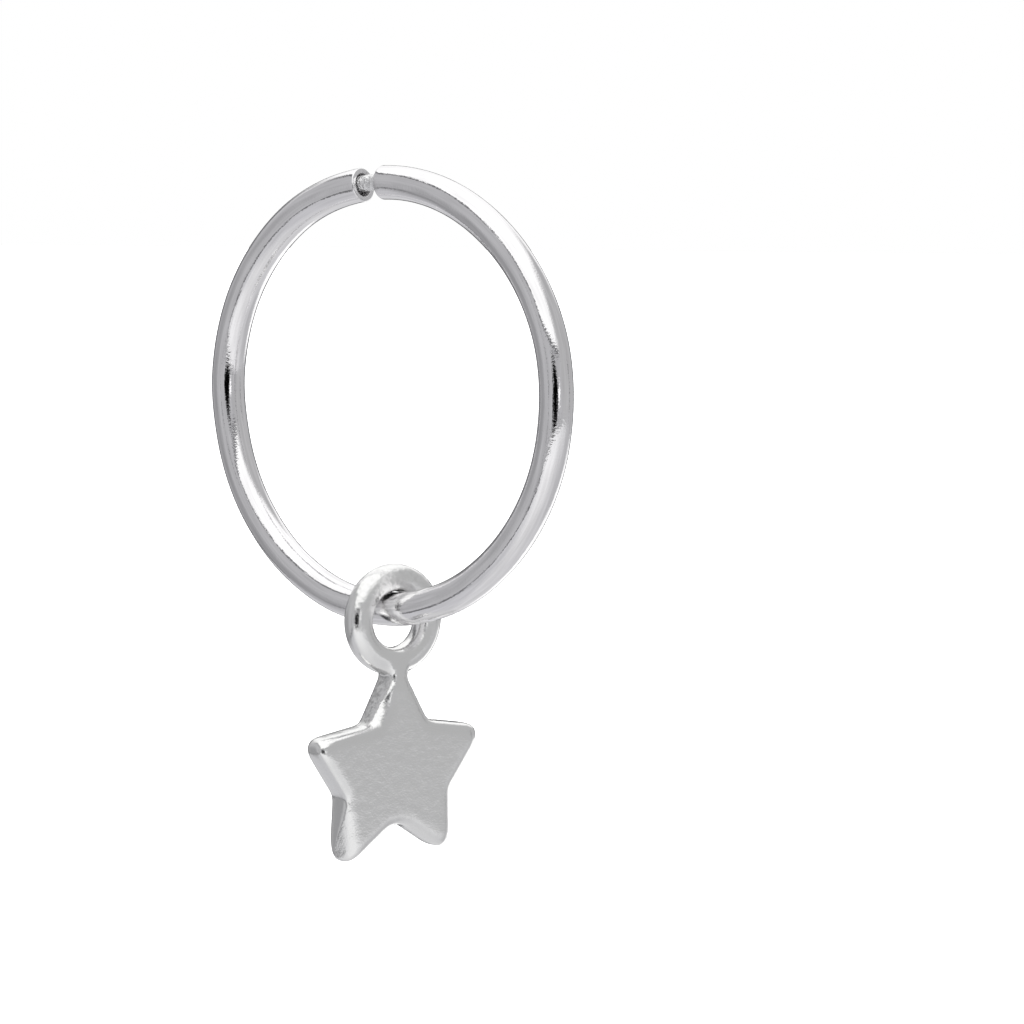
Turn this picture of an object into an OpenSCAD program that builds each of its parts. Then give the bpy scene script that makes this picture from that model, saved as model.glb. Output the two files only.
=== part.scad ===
// Silver hoop earring with a cast star charm that hangs from the hoop by its own ring.
// Millimetres, +Z up. The origin is on the tube's centre line at the top of the hoop,
// where the earring hangs in the ear. The hoop lies in the XZ plane and the charm faces +X.

/* [Hoop] */
// Outer diameter of the hoop
hoop_od = 16; // [14:0.5:24]
// Outer diameter of the hoop's tube
tube_d = 1.18; // [1:0.02:1.4]
// Wall thickness of the hoop's tube
tube_wall = 0.18; // [0.12:0.01:0.22]

/* [Catch] */
// Angle from the top of the hoop to the middle of the catch, towards -X
catch_at = 5; // [5:0.5:12]
// Gap between the two tube ends with the hoop closed
catch_gap = 0.84; // [0.4:0.02:1.1]
// Width of the chamfer round the mouth of the open end
mouth_chamfer = 0.05; // [0.02:0.01:0.08]
// Length of the rounded shoulder at the other end
shoulder_l = 0.12; // [0.1:0.02:0.4]
// Wall left round the pin at the nose of the shoulder
nose_wall = 0.02; // [0.01:0.01:0.08]
// Clearance all round the pin in the open end
pin_clear = 0.15; // [0.05:0.01:0.18]
// Clearance all round the pin where the shoulder grips it
grip_clear = 0.01; // [0.01:0.005:0.02]
// Length of straight pin inside the open end, before its round tip
pin_in = 3; // [1.5:0.5:5]
// Length of pin inside the tube behind the shoulder
pin_root = 1.5; // [1:0.5:3]

/* [Charm ring] */
// Outer diameter of the ring
ring_od = 3.9; // [3.6:0.02:4.6]
// Thickness of the ring
ring_t = 0.94; // [0.84:0.02:1.2]
// Radius of the ring's outer edges
ring_edge_r = 0.36; // [0.2:0.02:0.4]
// How much wider the ring's hole is than the tube in it
ring_play = 0.76; // [0.6:0.02:0.9]
// Radius of the rounded rims of the hole
rim_r = 0.36; // [0.2:0.02:0.4]
// Gap between tube and hole where the ring hangs on the tube
hang_gap = 0.03; // [0.02:0.01:0.06]
// Turn of the charm about the vertical, from square across the hoop
charm_turn = 16; // [0:1:18]
// How far from the hoop's lowest point the charm hangs, towards +X
charm_shift = 0.18; // [-0.4:0.02:0.4]

/* [Star] */
// Distance from the centre of the ring to the centre of the star
star_drop = 5.32; // [5:0.02:6]
// Reach of the star's lower arms from its centre to their sharp points
star_reach = 3.9; // [3.4:0.02:4.4]
// Thickness of the star
star_t = 1.16; // [0.9:0.02:1.4]
// Radius of the edges round both faces of the star
star_edge_r = 0.32; // [0.1:0.02:0.32]
// Radius of the arms' ends, seen from the front
tip_r = 0.34; // [0.34:0.02:0.5]
// Radius of the four inner corners between the arms
inner_r = 0.17; // [0.05:0.01:0.3]
// Radius of the notch between the two lower arms
notch_r = 0.5; // [0.2:0.02:0.6]
// Width of the top arm where it meets the ring, before its fillets
neck_w = 0.62; // [0.58:0.02:0.9]
// Radius of the fillets between the top arm and the ring
neck_r = 0.2; // [0.1:0.02:0.3]

/* [Hidden] */
silver = "#c8c8cc";
$fn = 96;

tube_r = tube_d / 2;
bore_r = tube_r - tube_wall;
hoop_r = hoop_od / 2 - tube_r;
deg_per_mm = 180 / (PI * hoop_r);

// Places round the hoop, as angles from its top, positive towards +X
mouth_at = -catch_at - catch_gap / 2 * deg_per_mm;
nose_at = -catch_at + catch_gap / 2 * deg_per_mm;
shoulder_at = nose_at + shoulder_l * deg_per_mm;

pin_r = bore_r - pin_clear;
grip_r = pin_r + grip_clear;
nose_r = grip_r + nose_wall;
pin_tip_at = mouth_at - pin_in * deg_per_mm;
pin_root_at = shoulder_at + pin_root * deg_per_mm;

// Fine step where one surface ends just inside another
seam_step = 0.005;
// Length of the shoulder's root inside the tube
shoulder_lap = 0.1;

ring_r = ring_od / 2;
hole_r = (tube_d + ring_play) / 2;
hole_half = ring_t / 2 - rim_r;

// The turned ring rests on the tube at the two ends of its hole's straight wall, a little to the
// side of the tube's centre line, so it hangs less far down than a ring square across the tube
side_shift = hole_half * tan(charm_turn);
ring_hang = sqrt(pow(hole_r - tube_r / cos(charm_turn), 2) - pow(side_shift, 2)) - hang_gap;
ring_z = -hoop_r - sqrt(pow(hoop_r, 2) - pow(charm_shift, 2)) - ring_hang;

// Where the top arm ends inside the ring's metal
seat_r = ring_r - ring_edge_r;
// Angle either side of straight down at which the top arm's foot ends inside the ring
seat_angle = 45;

// One side of the star below the top arm
// Columns: angle from the +Y arm's level, reach as a share of star_reach, radius of the corner
STAR_SIDE = [
    [54.6, 0.543, inner_r],
    [19.6, 0.988, tip_r],
    [-18.7, 0.603, inner_r],
    [-55.1, 1.000, tip_r],
];
// The notch sits a little towards -Y, as cast
NOTCH = [-94, 0.462, notch_r];

// Radius of the faces' edges, which stays below that of the arms' ends
edge_r = min(star_edge_r, 0.95 * tip_r);

// Share of the star's thickness left at the top arm's foot, which ends just inside the ring's faces
foot_share = min(1, (ring_t - 2 * seam_step) / star_t);

// Steps of an arc at a corner of the outline, and across a rounded edge
CORNER_STEPS = 6;
EDGE_STEPS = 5;

function mirrored(p) = [-p.x, p.y];
function reversed(list) = [for (i = [len(list) - 1:-1:0]) list[i]];

// Star's corners as [point, radius], counter-clockwise seen from +X, from the centre of the ring
function star_corner(row) =
    [[0, -star_drop] + row[1] * star_reach * [cos(row[0]), sin(row[0])], row[2]];
function neck_corner() =
    [[neck_w / 2, -sqrt(pow(ring_r, 2) - pow(neck_w / 2, 2))], neck_r];
function foot_corner() = [seat_r * [sin(seat_angle), -cos(seat_angle)], tip_r];

right_side = concat([foot_corner(), neck_corner()], [for (row = STAR_SIDE) star_corner(row)]);
left_side = [for (c = reversed(right_side)) [mirrored(c[0]), c[1]]];
corners = reversed(concat(right_side, [star_corner(NOTCH)], left_side));

function outward(a, b) = let (e = (b - a) / norm(b - a)) [e.y, -e.x];

// Points of the arc that rounds corner p between a and b, with the outline taken in by inset
function corner_arc(a, p, b, r, inset) =
    let (
        n0 = outward(a, p),
        n1 = outward(p, b),
        turn = atan2(cross(n0, n1), n0 * n1),
        side = sign(turn),
        centre = p - side * r * (n0 + n1) / (1 + n0 * n1),
        start = atan2(n0.y, n0.x)
    )
    [for (k = [0:CORNER_STEPS])
        let (t = start + turn * k / CORNER_STEPS)
        centre + (side * r - inset) * [cos(t), sin(t)]];

function outline(inset) =
    let (n = len(corners))
    [for (i = [0:n - 1])
        let (before = corners[(i + n - 1) % n], here = corners[i], after = corners[(i + 1) % n])
        each corner_arc(before[0], here[0], after[0], here[1], inset)];

// Steps across the star's thickness as [place, inset], with a quarter round at each edge
back_edge = [for (k = [0:EDGE_STEPS])
    let (q = 90 * k / EDGE_STEPS)
    [-star_t / 2 + edge_r * (1 - cos(q)), edge_r * (1 - sin(q))]];
layers = concat(back_edge, [for (s = reversed(back_edge)) mirrored(s)]);

// A point of the star's body at one step across its thickness, nearer the middle at the foot
function placed(x, p) = [x * (p.y > -ring_r - neck_r ? foot_share : 1), p.x, p.y];

// Sweeps a flat section round the hoop's circle, between two angles from the hoop's top
module bent(from, to) {
    translate([0, 0, -hoop_r])
        rotate([90, to - 90, 0])
            rotate_extrude(angle = to - from)
                translate([hoop_r, 0])
                    children();
}

// Puts a shape made round +Z at an angle on the hoop, with its +Z along the hoop towards +X
module along_hoop(angle) {
    translate([0, 0, -hoop_r])
        rotate([0, angle, 0])
            translate([0, 0, hoop_r])
                rotate([0, 90, 0])
                    children();
}

// The last stretch of the open end, with its outer rim chamfered
module mouth() {
    rotate_extrude()
        polygon([
            [bore_r, 0],
            [tube_r, 0],
            [tube_r - mouth_chamfer, mouth_chamfer],
            [bore_r, mouth_chamfer],
        ]);
}

// The tube's other end, swaged down in a rounded shoulder on to the pin
module shoulder() {
    root_r = tube_r - seam_step;
    rotate_extrude()
        polygon(concat(
            [[0, -shoulder_l], [0, shoulder_lap], [root_r, shoulder_lap]],
            [for (k = [0:EDGE_STEPS])
                let (q = 90 * k / EDGE_STEPS)
                [nose_r + (root_r - nose_r) * cos(q), -shoulder_l * sin(q)]]
        ));
}

module hoop_tube() {
    mouth_start = mouth_at - mouth_chamfer * deg_per_mm;
    // How far the pin's hole is cut past the shoulder at each end
    overrun = 2 * shoulder_lap * deg_per_mm;
    color(silver) {
        bent(shoulder_at, 360 + mouth_start)
            difference() {
                circle(tube_r);
                circle(bore_r);
            }
        along_hoop(mouth_start) mouth();
        difference() {
            along_hoop(shoulder_at) shoulder();
            bent(nose_at - overrun, shoulder_at + overrun) circle(grip_r);
        }
    }
}

module catch_pin() {
    color(silver) {
        bent(pin_tip_at, pin_root_at) circle(pin_r);
        along_hoop(pin_tip_at) sphere(pin_r - seam_step);
    }
}

// The ring's section, with its radius along X: flat faces, and edges rounded outside and inside
module ring_section() {
    half = ring_t / 2;
    edge_x = ring_r - ring_edge_r;
    edge_y = half - ring_edge_r;
    rim_x = hole_r + rim_r;
    translate([rim_x, -half])
        square([edge_x - rim_x, ring_t]);
    translate([rim_x, -edge_y])
        square([ring_r - rim_x, 2 * edge_y]);
    translate([hole_r, -hole_half])
        square([edge_x - hole_r, 2 * hole_half]);
    for (side = [-1, 1]) {
        translate([edge_x, side * edge_y])
            circle(ring_edge_r);
        translate([rim_x, side * hole_half])
            circle(rim_r);
    }
}

// Triangles from one point to each pair of neighbours in a closed loop of points
function fan(hub, loop) =
    [for (i = [0:len(loop) - 1]) [hub, loop[i], loop[(i + 1) % len(loop)]]];

// The star as a stack of outlines, each one joined to the next. The two faces are closed by fans
// of triangles, one below the neck round the star's centre and one above it round the foot's.
module star_body() {
    rings = [for (s = layers) [for (p = outline(s[1])) placed(s[0], p)]];
    n = len(rings[0]);
    front = (len(rings) - 1) * n;
    hub = len(rings) * n;
    hubs = [for (s = [layers[0], layers[len(layers) - 1]])
        each [placed(s[0], [0, -star_drop]), placed(s[0], [0, -seat_r])]];
    // The neck's arc is the second of the outline's arcs, and the last but one
    left_neck = CORNER_STEPS + 1 + floor(CORNER_STEPS / 2);
    right_neck = n - 1 - left_neck;
    star_loop = [for (i = [left_neck:right_neck]) i];
    foot_loop = [for (i = [right_neck:n + left_neck]) i % n];
    polyhedron(
        points = concat([for (ring = rings) each ring], hubs),
        faces = concat(
            fan(hub, star_loop),
            fan(hub + 1, foot_loop),
            [for (s = [0:len(rings) - 2], i = [0:n - 1])
                let (j = (i + 1) % n, a = s * n, b = a + n)
                each [[a + i, b + i, b + j], [a + i, b + j, a + j]]],
            fan(hub + 2, reversed([for (i = star_loop) front + i])),
            fan(hub + 3, reversed([for (i = foot_loop) front + i]))
        )
    );
}

module star_charm() {
    color(silver)
        translate([charm_shift, 0, ring_z])
            rotate([0, 0, -charm_turn])
                union() {
                    rotate([0, 90, 0])
                        rotate_extrude()
                            ring_section();
                    star_body();
                }
}

hoop_tube();
catch_pin();
star_charm();
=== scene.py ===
"""Silver hoop earring with a cast star charm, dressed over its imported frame."""
import math

import bmesh
import bpy
from mathutils import Matrix, Vector, noise


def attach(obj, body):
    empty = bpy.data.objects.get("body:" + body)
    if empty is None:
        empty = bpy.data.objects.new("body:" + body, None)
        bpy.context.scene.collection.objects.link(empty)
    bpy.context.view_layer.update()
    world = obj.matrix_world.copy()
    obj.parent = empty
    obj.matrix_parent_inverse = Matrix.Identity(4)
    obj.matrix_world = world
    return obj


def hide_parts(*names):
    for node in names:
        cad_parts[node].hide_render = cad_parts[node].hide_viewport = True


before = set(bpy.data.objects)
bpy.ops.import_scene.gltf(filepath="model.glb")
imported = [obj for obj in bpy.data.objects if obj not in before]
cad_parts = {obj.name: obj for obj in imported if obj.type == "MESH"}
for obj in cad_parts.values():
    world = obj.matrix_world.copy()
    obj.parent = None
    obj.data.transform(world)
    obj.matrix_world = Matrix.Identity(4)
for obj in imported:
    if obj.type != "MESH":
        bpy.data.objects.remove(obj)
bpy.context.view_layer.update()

# The hoop. One round tube of sterling silver, drawn, bent to a circle by hand and polished to
# a mirror. One end is cut square and open; the other is closed round the pin and its rim is
# rounded. It is the earring's fixed body.
HOOP_R = 7.41           # mm, radius of the tube's centre line
TUBE_R = 0.59
BORE_R = 0.41
NOSE_AT = -1.752        # degrees round the hoop from its top
MOUTH_AT = 351.753
SHOULDER_L = 0.12
PIN_HOLE_R = 0.27
NOSE_R = 0.32
LIP_R = 0.05            # rounding of the open end's outer rim
BURR_R = 0.025          # rounding of its inner rim
AROUND = 72             # steps round the tube
STEP = 0.15             # mm, step along the tube
# How far the hand-bent hoop is out of round: degrees from its top, and mm outwards
OUT_OF_ROUND = [
    (-36, 0.055), (-8, -0.02), (30, -0.015), (70, 0.03), (100, -0.04), (138, -0.06), (160, -0.03),
    (178, -0.013), (198, 0.025), (213, 0), (235, -0.035), (258, -0.055), (276, 0.01), (303, 0.05),
    (324, 0.055), (352, -0.02), (380, -0.015),
]


def lathed(path, steps, closed=True):
    """A bmesh turned round the X axis from a path of (place along X, radius)."""
    bm = bmesh.new()
    verts = [bm.verts.new((x, 0, r)) for x, r in path]
    edges = [bm.edges.new(pair) for pair in zip(verts, verts[1:] + verts[:1] * closed)]
    bmesh.ops.spin(bm, geom=verts + edges, cent=(0, 0, 0), axis=(1, 0, 0),
                   angle=math.tau, steps=steps, use_merge=True)
    bmesh.ops.remove_doubles(bm, verts=bm.verts, dist=1e-4)
    bmesh.ops.recalc_face_normals(bm, faces=bm.faces)
    return bm


def straight(x0, x1, r, step=STEP):
    """Points of a straight run along the tube at one radius."""
    n = max(2, round(abs(x1 - x0) / step))
    return [(x0 + (x1 - x0) * i / n, r) for i in range(n + 1)]


def rounded(centre, radii, a0, a1, n=8):
    """Points of a quarter round in a profile."""
    turns = [math.radians(a0 + (a1 - a0) * i / n) for i in range(n + 1)]
    return [(centre[0] + radii[0] * math.cos(t), centre[1] + radii[1] * math.sin(t))
            for t in turns]


def keep_place(bm, name):
    """Stores where each point lies now, so that marks in the metal follow what bends it."""
    layer = bm.verts.layers.float_vector.new(name)
    for v in bm.verts:
        v[layer] = v.co


def out_of_round(degrees):
    """How far the hoop's centre line lies outside its circle, eased between the table's rows."""
    for (a, low), (b, high) in zip(OUT_OF_ROUND, OUT_OF_ROUND[1:]):
        if degrees <= b:
            t = (degrees - a) / (b - a)
            return low + (high - low) * t * t * (3 - 2 * t)
    return OUT_OF_ROUND[-1][1]


def bend_round_hoop(bm):
    """Bends a straight tube along X to the hoop's circle."""
    for v in bm.verts:
        turn = v.co.x / HOOP_R
        reach = HOOP_R + v.co.z + out_of_round(math.degrees(turn))
        v.co = Vector((reach * math.sin(turn), v.co.y, reach * math.cos(turn) - HOOP_R))


def finished(bm, name, body, node, material):
    """A mesh made in millimetres becomes an object in metres that stands for its CAD node."""
    bmesh.ops.scale(bm, vec=(0.001, 0.001, 0.001), verts=bm.verts)
    mesh = bpy.data.meshes.new(name)
    bm.to_mesh(mesh)
    bm.free()
    mesh.polygons.foreach_set("use_smooth", [True] * len(mesh.polygons))
    mesh.materials.append(material)
    piece = bpy.data.objects.new(name, mesh)
    bpy.context.scene.collection.objects.link(piece)
    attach(piece, body)
    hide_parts(node)
    return piece


def linear(value):
    """An sRGB hex colour as linear RGBA."""
    parts = [int(value[i:i + 2], 16) / 255 for i in (1, 3, 5)]
    return tuple(c / 12.92 if c <= 0.04045 else ((c + 0.055) / 1.055) ** 2.4 for c in parts) + (1,)


def add(tree, kind, inputs, **settings):
    """Adds a node; inputs gives its sockets a link or a value, settings its own properties."""
    made = tree.nodes.new(kind)
    for key, value in settings.items():
        setattr(made, key, value)
    for key, value in inputs.items():
        if isinstance(value, bpy.types.NodeSocket):
            tree.links.new(value, made.inputs[key])
        else:
            made.inputs[key].default_value = value
    return made


def metal(name, colour, roughness):
    """A bare metal material, its node tree and its shader."""
    made = bpy.data.materials.new(name)
    made.use_nodes = True
    shader = made.node_tree.nodes["Principled BSDF"]
    shader.inputs["Base Color"].default_value = linear(colour)
    shader.inputs["Metallic"].default_value = 1
    shader.inputs["Roughness"].default_value = roughness
    return made, made.node_tree, shader


# Sterling silver tube, drawn and mirror polished. It gives long clear reflections. Drawing
# lines 0.09 mm apart pull them out along the tube and make faint streaks in its tone, pits
# 0.07 mm apart fray their edges, and the slow waver of a hand-bent tube makes them wander.
POLISH = 0.03           # roughness of the outside
AS_DRAWN = 0.6          # roughness of the bore
LINES = 11.0            # to the mm across the tube
LINE_LENGTH = 0.06      # share of that along it
PITS = 14.0             # to the mm
WAVER = 0.6             # to the mm
polished, tree, shader = metal("drawn_polished_sterling", "#f3f2f3", POLISH)
drawn = add(tree, "ShaderNodeAttribute", {}, attribute_name="drawn").outputs["Vector"]
along = add(tree, "ShaderNodeMapping", {"Vector": drawn, "Scale": (LINE_LENGTH, 1, 1)}).outputs[0]
lines = add(tree, "ShaderNodeTexNoise", {"Vector": along, "Scale": LINES, "Detail": 2.0})
pits = add(tree, "ShaderNodeTexNoise", {"Vector": drawn, "Scale": PITS, "Detail": 2.0})
waver = add(tree, "ShaderNodeTexNoise", {"Vector": drawn, "Scale": WAVER, "Detail": 1.0})
normal = add(tree, "ShaderNodeBump", {"Height": waver.outputs[0], "Distance": 0.00004})
normal = add(tree, "ShaderNodeBump", {"Height": lines.outputs[0], "Distance": 0.000004,
                                      "Normal": normal.outputs[0]})
normal = add(tree, "ShaderNodeBump", {"Height": pits.outputs[0], "Distance": 0.0000035,
                                      "Normal": normal.outputs[0]})
tree.links.new(normal.outputs[0], shader.inputs["Normal"])
tone = add(tree, "ShaderNodeMapRange", {"Value": lines.outputs[0], "From Min": 0.3,
                                        "From Max": 0.7}).outputs[0]
tone = add(tree, "ShaderNodeMix", {"Factor": tone, "A": linear("#ecebec"),
                                   "B": linear("#fdfcfd")}, data_type="RGBA").outputs["Result"]
tree.links.new(tone, shader.inputs["Base Color"])
# The bore is left as drawn, so it is dull: everything nearer the centre line than its wall.
across = add(tree, "ShaderNodeMapping", {"Vector": drawn, "Scale": (0, 1, 1)}).outputs[0]
depth = add(tree, "ShaderNodeVectorMath", {0: across}, operation="LENGTH").outputs["Value"]
dull = add(tree, "ShaderNodeMapRange", {"Value": depth, "From Min": BORE_R + 0.04,
                                        "From Max": BORE_R + 0.01, "To Min": POLISH,
                                        "To Max": AS_DRAWN}).outputs[0]
tree.links.new(dull, shader.inputs["Roughness"])

nose = math.radians(NOSE_AT) * HOOP_R
mouth = math.radians(MOUTH_AT) * HOOP_R
root = nose + SHOULDER_L
hoop_path = (
    rounded((root, NOSE_R), (-SHOULDER_L, TUBE_R - NOSE_R), 0, 90, 10)
    + straight(root, mouth - LIP_R, TUBE_R)[1:]
    + rounded((mouth - LIP_R, TUBE_R - LIP_R), (LIP_R, LIP_R), 90, 0, 6)[1:]
    + rounded((mouth - BURR_R, BORE_R + BURR_R), (BURR_R, -BURR_R), 0, 90, 4)
    + straight(mouth - BURR_R, root, BORE_R)[1:]
    + straight(root, nose, PIN_HOLE_R)
)
bm = lathed(hoop_path, AROUND)
keep_place(bm, "drawn")
bend_round_hoop(bm)
finished(bm, "polished_hoop", "hoop", "hoop_tube", polished)

# The catch pin. A short silver wire held in the closed end and bent to the hoop's curve. It
# slides into the open end and closes the hoop. It is as drawn and filed, bright but grainy.
PIN_R = 0.285
PIN_IN = 3.0            # mm of straight pin inside the open end
PIN_ROOT = 1.5          # mm of pin behind the closed end
PIN_GRAIN = 0.02        # mm, depth of the filing marks
FILE_MARKS = 7          # filing marks to the mm
PIN_AROUND = 40         # steps round the pin
PIN_STEP = 0.035        # mm, step along it
PIN_ASIDE = (0, -0.07, 0.03)    # mm, how far to the front and out from the tube's middle it sits

# Hard drawn silver wire, filed to length and not polished. Pits 0.1 mm apart break its
# reflections up into a bright grey sparkle.
wire, tree, shader = metal("filed_silver_wire", "#fafafa", 0.3)
drawn = add(tree, "ShaderNodeAttribute", {}, attribute_name="drawn").outputs["Vector"]
pits = add(tree, "ShaderNodeTexNoise", {"Vector": drawn, "Scale": 9.0, "Detail": 3.0})
normal = add(tree, "ShaderNodeBump", {"Height": pits.outputs[0], "Distance": 0.00006})
tree.links.new(normal.outputs[0], shader.inputs["Normal"])

pin_tip = mouth - math.tau * HOOP_R - PIN_IN
pin_path = (
    rounded((pin_tip, 0), (-PIN_R, PIN_R), 0, 90, 6)
    + straight(pin_tip, root + PIN_ROOT, PIN_R, PIN_STEP)[1:]
    + [(root + PIN_ROOT, 0)]
)
bm = lathed(pin_path, PIN_AROUND, closed=False)
keep_place(bm, "drawn")
bm.normal_update()
for v in bm.verts:
    v.co += v.normal * PIN_GRAIN * min(noise.noise(v.co * FILE_MARKS), 0)
bmesh.ops.translate(bm, vec=PIN_ASIDE, verts=bm.verts)
bend_round_hoop(bm)
finished(bm, "drawn_pin", "hoop", "catch_pin", wire)

# The charm. One silver casting: a ring with rounded edges that the hoop passes through, and a
# thick five-pointed star below it. Tumbling has softened every edge, its faces are polished,
# and the walls of its top arm keep the casting's grain. It swings on the hoop.
RING_R = 1.96
RING_HOLE_R = 0.975
RING_T = 0.98
RING_AROUND = 128       # steps round the ring
RING_EDGE = (0.42, 0.5)  # mm, rounding of the outer edges, along the axis and across it
RIM = (0.32, 0.3)        # mm, rounding of the hole's edges, along the axis and across it
STAR_DROP = 5.32        # ring's centre to star's centre
STAR_T = 1.16
STAR_EDGE_R = 0.24
# Corners of one side of the foot and neck, as ((y, z) from the ring's centre, radius)
NECK = [((0.62, -1.55), 0.15), ((0.31, -1.925), 0.2)]
# Corners of the star, as ((y, z) from its own centre, radius). The two sides differ a little, as
# on a master made by hand.
STAR = [((1.22, 1.76), 0.2), ((3.65, 1.4), 0.42), ((2.08, -0.76), 0.25), ((2.1, -3.1), 0.42),
        ((-0.12, -1.66), 0.8), ((-2.46, -3.4), 0.42), ((-2.29, -0.76), 0.25),
        ((-3.66, 1.28), 0.42), ((-1.2, 1.71), 0.2)]
VOXEL = 0.036           # mm, mesh size of the casting
RING_CROWN = 0.07       # mm, how far the ring's faces fall away at their edges
CROWN_HALF = 0.5        # mm from the middle of the ring's faces to their edges
TUMBLED = 90            # rounds of smoothing
TIP_WEAR = 0.38         # mm, how far each face is worn down at the tips
WEAR_FROM = 3.05        # mm from the star's centre
WEAR_OVER = 0.8         # mm from there to full wear
# Flats filed on two front edges: the edge's ends from the star's centre, depth of the flat at
# each end, its greatest depth, and its slope
FILED = [((-2.4, -0.75), (-2.4, -3.4), 0.28, 0.87, 0.7, 1.5),
         ((-1.2, 1.71), (-0.31, 3.395), 0.56, -0.03, 0.26, 0.75)]
FILE_RUN = 1.2          # the file ran on past the edge's far end, in lengths of the edge
WALL_GRAIN = 0.014      # mm, height of the grain where the metal is as cast
GRAINS = (4, 9)         # grains to the mm, coarse and fine
WALL_FACES = 0.8        # a wall is what faces the front or back less than this
WHEEL_REACH = 1.7       # mm above the star's centre, below which the walls were polished too
POLISHED_WALLS = 0.15   # share of the as-cast skin left on those
RING_SKIN = 0.4         # share left on the ring's top
SKIN_FROM = 0.2         # mm above the ring's centre where that starts
SKIN_OVER = 0.6         # mm from there to its full share
CHARM_TURN = 16
CHARM_PLACE = (0.25, 0, -15.158)

# Cast sterling silver, tumbled and polished. The faces are near mirrors with a faint mottle
# about 0.3 mm wide, and a fine skin of grain 0.06 mm wide softens every reflection's edge.
TUMBLE_POLISH = 0.15    # roughness of the polished faces
CASTING_SKIN = 0.4      # roughness of the metal as cast
casting, tree, shader = metal("cast_sterling", "#f6f6f5", TUMBLE_POLISH)
cast = add(tree, "ShaderNodeAttribute", {}, attribute_name="cast").outputs["Vector"]
mottle = add(tree, "ShaderNodeTexNoise", {"Vector": cast, "Scale": 3.0, "Detail": 2.0})
skin = add(tree, "ShaderNodeTexNoise", {"Vector": cast, "Scale": 18.0, "Detail": 2.0})
normal = add(tree, "ShaderNodeBump", {"Height": mottle.outputs[0], "Distance": 0.00001})
normal = add(tree, "ShaderNodeBump", {"Height": skin.outputs[0], "Distance": 0.0000045,
                                      "Normal": normal.outputs[0]})
tree.links.new(normal.outputs[0], shader.inputs["Normal"])
# The walls of the top arm were out of the wheel's reach. They are rougher, and their colour is
# darkened in spots
# 0.14 mm wide: painted shade standing for the shade inside the casting's pits. The top of the ring
#               is a little rougher too, and takes a faint share of that painted shade.
as_cast = add(tree, "ShaderNodeAttribute", {}, attribute_name="as_cast").outputs["Fac"]
rough = add(tree, "ShaderNodeMapRange", {"Value": as_cast, "To Min": TUMBLE_POLISH,
                                         "To Max": CASTING_SKIN}).outputs[0]
tree.links.new(rough, shader.inputs["Roughness"])
# Painted shade: noise spots, weighted by the cube of the as-cast share, mark where the colour is
# darkened
painted_pit_shade = add(tree, "ShaderNodeTexNoise", {"Vector": cast, "Scale": 7.0, "Detail": 3.0,
                                         "Roughness": 0.7})
painted_pit_shade = add(tree, "ShaderNodeMapRange", {"Value": painted_pit_shade.outputs[0], "From Min": 0.42,
                                         "From Max": 0.62}).outputs[0]
pit_shade_weight = add(tree, "ShaderNodeMath", {0: as_cast, 1: 3.0}, operation="POWER").outputs[0]
painted_pit_shade = add(tree, "ShaderNodeMath", {0: painted_pit_shade, 1: pit_shade_weight}, operation="MULTIPLY").outputs[0]
# Painted shade: in the spots the silver's colour gives way to the dark grey #7c7b7a
tone = add(tree, "ShaderNodeMix", {"Factor": painted_pit_shade, "A": linear("#f6f6f5"),
                                   "B": linear("#7c7b7a")}, data_type="RGBA").outputs["Result"]
tree.links.new(tone, shader.inputs["Base Color"])


def ring_quarter(outer, side):
    """A quarter round of the ring's section."""
    radii = RING_EDGE if outer else RIM
    centre = (side * (RING_T / 2 - radii[0]),
              RING_R - radii[1] if outer else RING_HOLE_R + radii[1])
    start = {(True, 1): 0, (True, -1): 90, (False, -1): 180, (False, 1): 270}[outer, side]
    return rounded(centre, radii, start, start + 90)


bm = bmesh.new()
corners = NECK + [((y, z - STAR_DROP), r) for (y, z), r in STAR]
corners += [((-y, z), r) for (y, z), r in reversed(NECK)]
points = [Vector(p) for p, r in corners]
verts = [bm.verts.new((-STAR_T / 2, *p)) for p in points]
bm.faces.new(verts)
for i, (p, radius) in enumerate(corners):
    before, after = points[i - 1] - points[i], points[(i + 1) % len(points)] - points[i]
    bmesh.ops.bevel(bm, geom=[verts[i]], affect="VERTICES", offset_type="OFFSET",
                    offset=radius / math.tan(before.angle(after) / 2), segments=10, profile=0.5,
                    material=-1, clamp_overlap=False)
pushed = bmesh.ops.extrude_face_region(bm, geom=bm.faces[:])
bmesh.ops.translate(bm, vec=(STAR_T, 0, 0),
                    verts=[g for g in pushed["geom"] if isinstance(g, bmesh.types.BMVert)])
bmesh.ops.recalc_face_normals(bm, faces=bm.faces)
rims = [e for e in bm.edges if abs(e.verts[0].co.x - e.verts[1].co.x) < 1e-6]
bmesh.ops.bevel(bm, geom=rims, affect="EDGES", offset=STAR_EDGE_R, offset_type="OFFSET",
                segments=8, profile=0.5, material=-1, clamp_overlap=False)
draft_mesh = bpy.data.meshes.new("draft")
ring = lathed(ring_quarter(True, 1) + ring_quarter(True, -1) + ring_quarter(False, -1)
              + ring_quarter(False, 1), RING_AROUND)
ring.to_mesh(draft_mesh)
ring.free()
bm.from_mesh(draft_mesh)
bm.to_mesh(draft_mesh)
bm.free()
draft = bpy.data.objects.new("draft", draft_mesh)
bpy.context.scene.collection.objects.link(draft)
cast = draft.modifiers.new("cast", "REMESH")
cast.mode = "VOXEL"
cast.voxel_size = VOXEL
bpy.context.view_layer.update()
solid = draft.evaluated_get(bpy.context.evaluated_depsgraph_get())
bm = bmesh.new()
bm.from_mesh(solid.to_mesh())
solid.to_mesh_clear()
bpy.data.objects.remove(draft)
bpy.data.meshes.remove(draft_mesh)
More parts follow.
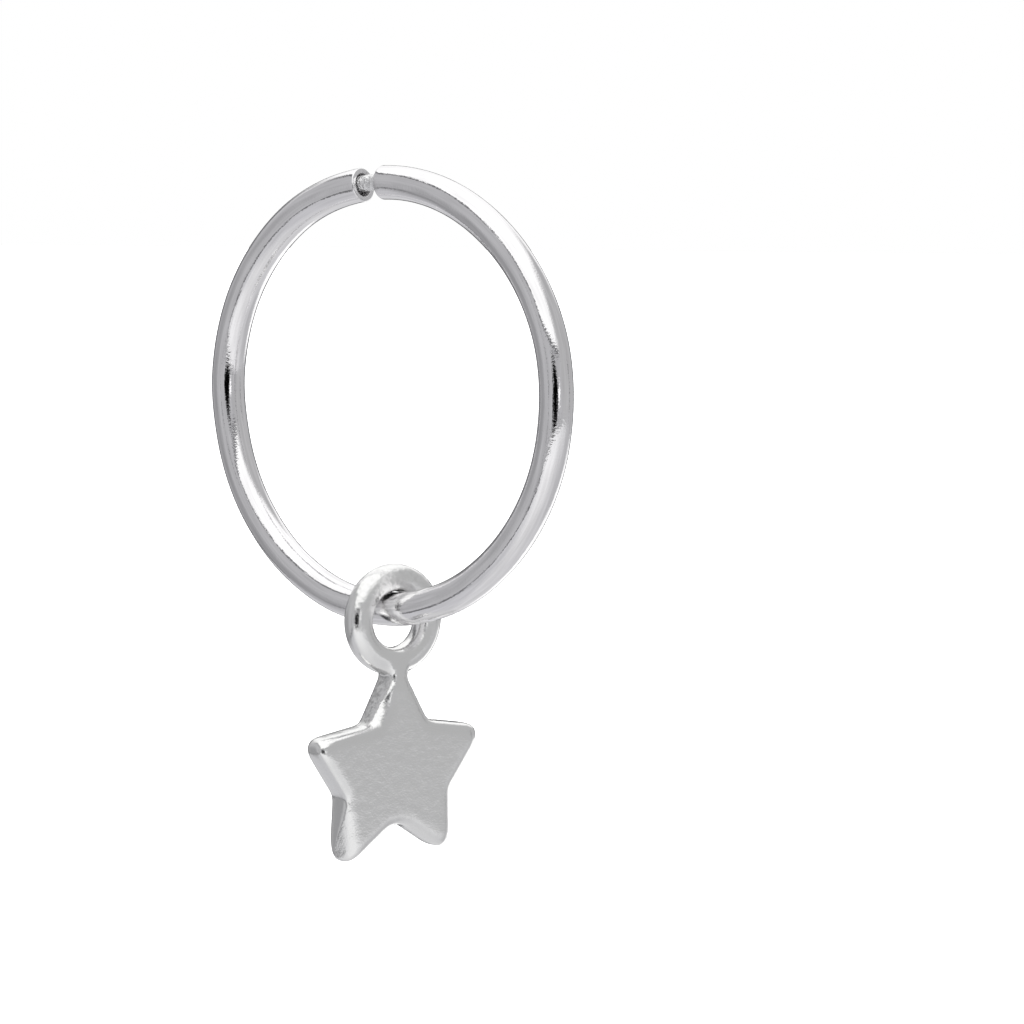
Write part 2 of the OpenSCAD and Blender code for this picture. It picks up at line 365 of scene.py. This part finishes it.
for v in bm.verts:
    up = v.co.z + STAR_DROP
    tip = max(0.0, math.hypot(v.co.y, up) - WEAR_FROM) * (up < STAR_DROP / 2)
    v.co.x *= 1 - 2 * TIP_WEAR / STAR_T * min(tip / WEAR_OVER, 1.0) ** 2
    out = (v.co.yz.length - (RING_R + RING_HOLE_R) / 2) / CROWN_HALF
    if v.co.yz.length < RING_R:
        v.co.x *= 1 - 2 * RING_CROWN / RING_T * out ** 2
    for first, last, start, end, most, slope in FILED:
        along = (Vector(last) - Vector(first)).normalized()
        aside = Vector((v.co.y, up)) - Vector(first)
        share = aside.dot(along) / math.dist(first, last)
        inward = abs(along.cross(aside))
        worn = min(start + (end - start) * share, most) - slope * inward
        if 0 < share < FILE_RUN and worn > 0:
            v.co.x = min(v.co.x, STAR_T / 2 - worn)
for _ in range(TUMBLED):
    bmesh.ops.smooth_vert(bm, verts=bm.verts, factor=0.5, use_axis_x=True, use_axis_y=True,
                          use_axis_z=True)
bm.normal_update()
keep_place(bm, "cast")
as_cast = bm.verts.layers.float.new("as_cast")
for v in bm.verts:
    if v.co.z > -RING_R:
        skin_left = RING_SKIN * min(max((v.co.z - SKIN_FROM) / SKIN_OVER, 0.0), 1.0)
    else:
        skin_left = max(0.0, WALL_FACES - abs(v.normal.x))
        skin_left *= 1 if v.co.z > WHEEL_REACH - STAR_DROP else POLISHED_WALLS
    v[as_cast] = skin_left
    grain = sum(noise.noise(v.co * grains) for grains in GRAINS)
    v.co += v.normal * skin_left * WALL_GRAIN * grain
bmesh.ops.transform(bm, matrix=Matrix.Translation(CHARM_PLACE)
                    @ Matrix.Rotation(-math.radians(CHARM_TURN), 4, "Z"), verts=bm.verts)
finished(bm, "cast_star", "charm", "star_charm", casting)

# The light tent. White cloth all round the earring, with grey where it is open or the room
# shows through, the dark opening for the camera, and narrow bright gaps.
CAMERA_AT = 38.08       # degrees round the earring
WHITE = 1.2             # strength of the tent's light
# Height above the horizon in degrees, and grey of the cloth
CLOTH = [(-90, "#c0c0c2"), (-50, "#cdcdce"), (-34, "#d8d8d9"), (-14, "#e4e4e5"),
         (10, "#ebebec"), (20, "#f5f5f5"), (90, "#fafafa")]
# Azimuth from the camera, height, half width and half height in degrees, squareness, softness,
# grey. Later rows lie over earlier ones.
CARDS = [
    (-95, -40, 62, 34, 3, 0.35, "#b7b7ba"),
    (95, -42, 60, 30, 3, 0.5, "#bebec0"),
    (-12, 2.2, 62, 15, 8, 0.04, "#5c5c5e"),
    (-92, 8, 63, 38.5, 2.4, 0.04, "#606062"),
    (0, 1, 200, 12.5, 8, 0.06, "#aaaaac"),
    (-92, 8, 58, 33, 2.4, 0.07, "#aaaaac"),
    (92, 20, 57, 31, 2.6, 0.24, "#a8a8a9"),
    (100, -26, 26, 18, 2.2, 0.5, "#acacae"),
    (-105, -12, 22, 24, 2.2, 0.6, "#8e8e90"),
    (95, 1, 1.8, 11, 2, 0.4, "#68686a"),
    (-50, 1, 1.6, 11, 2, 0.6, "#7c7c7e"),
    (146, -30, 25, 20, 3, 0.2, "#fcfcfc"),
    (180, 30, 44, 18, 3, 0.3, "#f0f0f0"),
    (-172, -34, 20, 16, 3, 0.3, "#c4c4c6"),
    (180, -3, 33, 21, 2.5, 0.2, "#4a4a4c"),
    (-148, 4, 15, 24, 2, 0.4, "#727274"),
    (-4, -2, 17, 11.5, 2, 0.22, "#040404"),
    (20, -1, 7, 4, 2, 0.35, "#ffffff"),
]

world = bpy.data.worlds.new("light_tent")
world.use_nodes = True
tree = world.node_tree
tree.nodes.clear()
look = add(tree, "ShaderNodeTexCoord", {}).outputs["Generated"]
facing = add(tree, "ShaderNodeVectorRotate", {
    "Vector": look, "Angle": math.radians(90 - CAMERA_AT)}, rotation_type="Z_AXIS").outputs[0]
parts = add(tree, "ShaderNodeSeparateXYZ", {0: facing})
around = add(tree, "ShaderNodeMath", {0: parts.outputs["Y"], 1: parts.outputs["X"]},
             operation="ARCTAN2").outputs[0]
around = add(tree, "ShaderNodeMath", {0: around}, operation="DEGREES").outputs[0]
height = add(tree, "ShaderNodeMath", {0: parts.outputs["Z"]}, operation="ARCSINE").outputs[0]
height = add(tree, "ShaderNodeMath", {0: height}, operation="DEGREES").outputs[0]
level = add(tree, "ShaderNodeMath", {0: height, 1: 1 / 180, 2: 0.5},
            operation="MULTIPLY_ADD").outputs[0]
cloth = add(tree, "ShaderNodeValToRGB", {0: level})
stops = cloth.color_ramp.elements
for up, grey in CLOTH[1:-1]:
    stops.new(up / 180 + 0.5).color = linear(grey)
stops[0].color = linear(CLOTH[0][1])
stops[-1].color = linear(CLOTH[-1][1])
tent = cloth.outputs[0]
for at, up, half_w, half_h, square, soft, grey in CARDS:
    off = add(tree, "ShaderNodeMath", {0: around, 1: at}, operation="SUBTRACT").outputs[0]
    off = add(tree, "ShaderNodeMath", {0: off, 1: 180, 2: -180}, operation="WRAP").outputs[0]
    rise = add(tree, "ShaderNodeMath", {0: height, 1: up}, operation="SUBTRACT").outputs[0]
    shares = []
    for value, half in ((off, half_w), (rise, half_h)):
        share = add(tree, "ShaderNodeMath", {0: value, 1: 1 / half}, operation="MULTIPLY")
        share = add(tree, "ShaderNodeMath", {0: share.outputs[0]}, operation="ABSOLUTE")
        share = add(tree, "ShaderNodeMath", {0: share.outputs[0], 1: square}, operation="POWER")
        shares.append(share.outputs[0])
    reach = add(tree, "ShaderNodeMath", {0: shares[0], 1: shares[1]}, operation="ADD").outputs[0]
    reach = add(tree, "ShaderNodeMath", {0: reach, 1: 1 / square}, operation="POWER").outputs[0]
    mask = add(tree, "ShaderNodeMapRange", {"Value": reach, "From Min": 1 + soft,
                                            "From Max": 1 - soft},
               interpolation_type="SMOOTHSTEP").outputs[0]
    tent = add(tree, "ShaderNodeMix", {0: mask, 6: tent, 7: linear(grey)},
               data_type="RGBA").outputs[2]
glow = add(tree, "ShaderNodeBackground", {"Color": tent, "Strength": WHITE}).outputs[0]
plain = add(tree, "ShaderNodeBackground", {"Color": (1, 1, 1, 1)}).outputs[0]
seen = add(tree, "ShaderNodeLightPath", {}).outputs["Is Camera Ray"]
behind = add(tree, "ShaderNodeMixShader", {0: seen, 1: glow, 2: plain}).outputs[0]
add(tree, "ShaderNodeOutputWorld", {"Surface": behind})
bpy.context.scene.world = world

# The floor. A wide plate of white opal acrylic, lit from below, so it shows as plain white.
FLOOR_Z = -0.055
FLOOR_HALF = 4.0
bm = bmesh.new()
bmesh.ops.create_grid(bm, x_segments=1, y_segments=1, size=FLOOR_HALF)
bmesh.ops.translate(bm, vec=(0, 0, FLOOR_Z), verts=bm.verts)
floor_mesh = bpy.data.meshes.new("acrylic_floor")
bm.to_mesh(floor_mesh)
bm.free()
acrylic = bpy.data.materials.new("opal_acrylic")
acrylic.use_nodes = True
shader = acrylic.node_tree.nodes["Principled BSDF"]
shader.inputs["Base Color"].default_value = linear("#f4f4f4")
shader.inputs["Roughness"].default_value = 0.6
shader.inputs["Emission Color"].default_value = (1, 1, 1, 1)
shader.inputs["Emission Strength"].default_value = 1.0
floor_mesh.materials.append(acrylic)
floor = bpy.data.objects.new("acrylic_floor", floor_mesh)
bpy.context.scene.collection.objects.link(floor)
floor.visible_glossy = False

# The camera, at the photograph's viewing angle.
CAMERA_UP = 4.335
CAMERA_ROLL = 0.086
HOOP_SEEN = (-4.328, 4.012)     # mm, hoop's centre from the middle of the view
CAMERA_FAR = 138.676
LENS = 140.625
SENSOR = 36
a, e, q = (math.radians(v) for v in (CAMERA_AT, CAMERA_UP, CAMERA_ROLL))
back = Vector((math.sin(a) * math.cos(e), -math.cos(a) * math.cos(e), math.sin(e)))
right = Vector((math.cos(a), math.sin(a), 0))
up = back.cross(right)
x_axis = math.cos(q) * right + math.sin(q) * up
y_axis = math.cos(q) * up - math.sin(q) * right
eye = Vector((0, 0, -HOOP_R)) - HOOP_SEEN[0] * x_axis - HOOP_SEEN[1] * y_axis
eye = (eye + CAMERA_FAR * back) / 1000
lens = bpy.data.cameras.new("camera")
lens.lens = LENS
lens.sensor_width = SENSOR
lens.clip_start = 0.001
camera = bpy.data.objects.new("camera", lens)
bpy.context.scene.collection.objects.link(camera)
turned = Matrix((x_axis, y_axis, back)).transposed().to_4x4()
camera.matrix_world = Matrix.Translation(eye) @ turned
bpy.context.scene.camera = camera
bpy.context.scene.view_settings.view_transform = "Standard"
